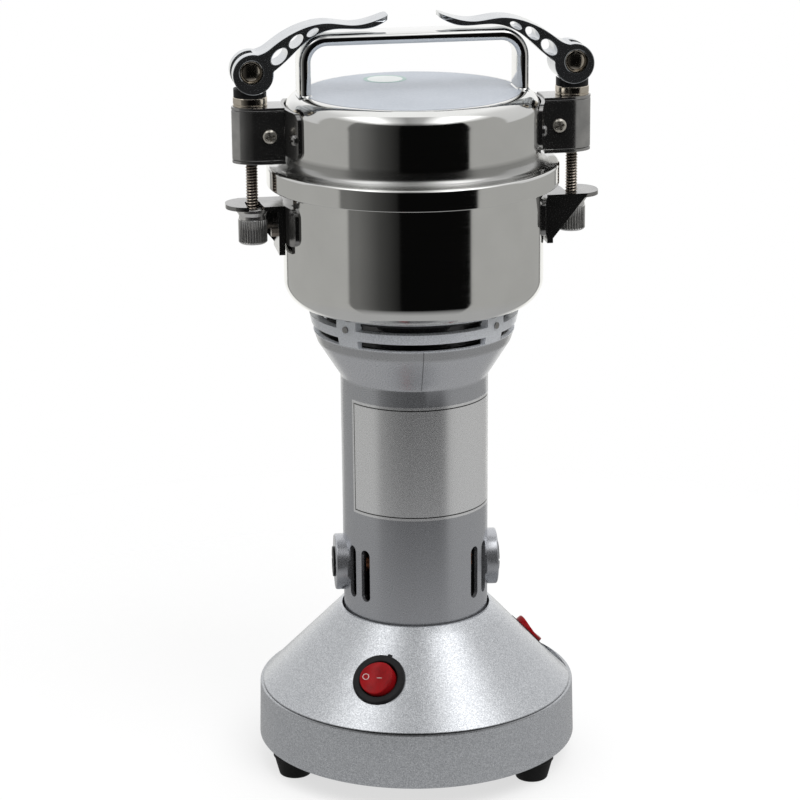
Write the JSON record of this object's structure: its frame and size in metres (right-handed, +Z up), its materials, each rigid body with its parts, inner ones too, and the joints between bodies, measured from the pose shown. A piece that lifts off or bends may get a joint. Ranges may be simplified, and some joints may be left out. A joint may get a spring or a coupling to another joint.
{
  "type": "electric grinder",
  "caption": "Stainless-steel electric powder grinder with a clamped lid, quick-release levers, a motor tube and a round silver base with a rocker switch",
  "frame": {"origin": "on the floor, at the motor axis", "axes": "+Z up along the motor axis, X through the two clamps, front switch towards -Y"},
  "size_m": [0.16, 0.142, 0.3311],
  "materials": {
    "silver_paint": "silver metallic paint with fine sparkle",
    "dark_sheet": "dark plain steel",
    "black_rubber": "matte black rubber",
    "turned_aluminium": "satin turned aluminium",
    "cast_aluminium": "cast aluminium",
    "bright_steel": "mirror-polished stainless steel",
    "plate_steel": "polished steel sheet",
    "machined_steel": "machined steel",
    "copper": "copper and brass",
    "black_plastic": "matte black plastic",
    "red_plastic": "glossy dark red plastic",
    "seal_rubber": "pale silicone",
    "nickel": "nickel plate",
    "dark_nickel": "dull nickel plate",
    "lever_chrome": "dark chrome"
  },
  "bodies": {
    "base": {"base_cover": "silver_paint", "base_plate": "dark_sheet", "bearing_flange": "cast_aluminium", "bearing_lower": "machined_steel", "bearing_upper": "machined_steel", "bottom_shield": "dark_sheet", "bowl": "bright_steel", "bracket_bolts": "dark_nickel", "brush_cap_left": "black_plastic", "brush_cap_right": "black_plastic", "brush_holder_left": "copper", "brush_holder_right": "copper", "carbon_brush_left": "black_plastic", "carbon_brush_right": "black_plastic", "catch_bracket_left": "plate_steel", "catch_bracket_right": "plate_steel", "cord_grommet": "black_rubber", "field_coil_back": "copper", "field_coil_front": "copper", "foot_1": "black_rubber", "foot_2": "black_rubber", "foot_3": "black_rubber", "front_switch_body": "black_plastic", "lock_pins": "machined_steel", "motor_housing": "turned_aluminium", "shaft_seal": "seal_rubber", "side_switch_body": "black_plastic", "stator_core": "dark_sheet"},
    "rotor": {"shaft": "machined_steel", "armature_core": "machined_steel", "commutator": "copper", "fan": "black_plastic", "blade_lower": "machined_steel", "blade_spacer": "machined_steel", "blade_upper": "machined_steel", "blade_nut": "machined_steel"},
    "lid_body": {"lid": "bright_steel", "lid_gasket": "seal_rubber", "handle": "bright_steel", "lid_saddle_left": "plate_steel", "lid_saddle_right": "plate_steel", "clamp_block_left": "plate_steel", "clamp_block_right": "plate_steel", "clamp_screws": "machined_steel", "saddle_screws": "machined_steel", "cam_washer_left": "nickel", "cam_washer_right": "nickel", "cam_seat_left": "black_plastic", "cam_seat_right": "black_plastic", "tension_bolt_left": "dark_nickel", "tension_bolt_right": "dark_nickel", "barrel_pin_left": "nickel", "barrel_pin_right": "nickel"},
    "nut_left": {"clamp_nut_left": "dark_nickel"},
    "lever_body_left": {"lever_left": "lever_chrome"},
    "nut_right": {"clamp_nut_right": "dark_nickel"},
    "lever_body_right": {"lever_right": "lever_chrome"},
    "front_rocker_body": {"front_rocker": "red_plastic"},
    "side_rocker_body": {"side_rocker": "red_plastic"}
  },
  "joints": [
    {"name": "rotor_spin", "type": "hinge", "parent": "base", "child": "rotor", "pos_m": [0, 0, 0.112], "axis": [0, 0, 1], "continuous": true},
    {"name": "lid_turn", "type": "hinge", "parent": "base", "child": "lid_body", "pos_m": [0, 0, 0.2673], "axis": [0, 0, 1], "range_deg": [0, 25]},
    {"name": "lever_swing_left", "type": "hinge", "parent": "lid_body", "child": "lever_body_left", "pos_m": [-0.0686, 0, 0.3093], "axis": [0, -1, 0], "range_deg": [0, 155]},
    {"name": "nut_turn_left", "type": "hinge", "parent": "lid_body", "child": "nut_left", "pos_m": [-0.0686, 0, 0.2509], "axis": [0, 0, 1], "continuous": true},
    {"name": "lever_swing_right", "type": "hinge", "parent": "lid_body", "child": "lever_body_right", "pos_m": [0.0686, 0, 0.3093], "axis": [0, 1, 0], "range_deg": [0, 155]},
    {"name": "nut_turn_right", "type": "hinge", "parent": "lid_body", "child": "nut_right", "pos_m": [0.0686, 0, 0.2509], "axis": [0, 0, 1], "continuous": true},
    {"name": "front_rocker_tip", "type": "hinge", "parent": "base", "child": "front_rocker_body", "pos_m": [-0.02347, -0.04489, 0.05157], "axis": [0.3257, 0.623, 0.7112], "range_deg": [0, 18]},
    {"name": "side_rocker_tip", "type": "hinge", "parent": "base", "child": "side_rocker_body", "pos_m": [0.0521, 0.00937, 0.04869], "axis": [0.1771, -0.9842, 0], "range_deg": [0, 18]}
  ]
}
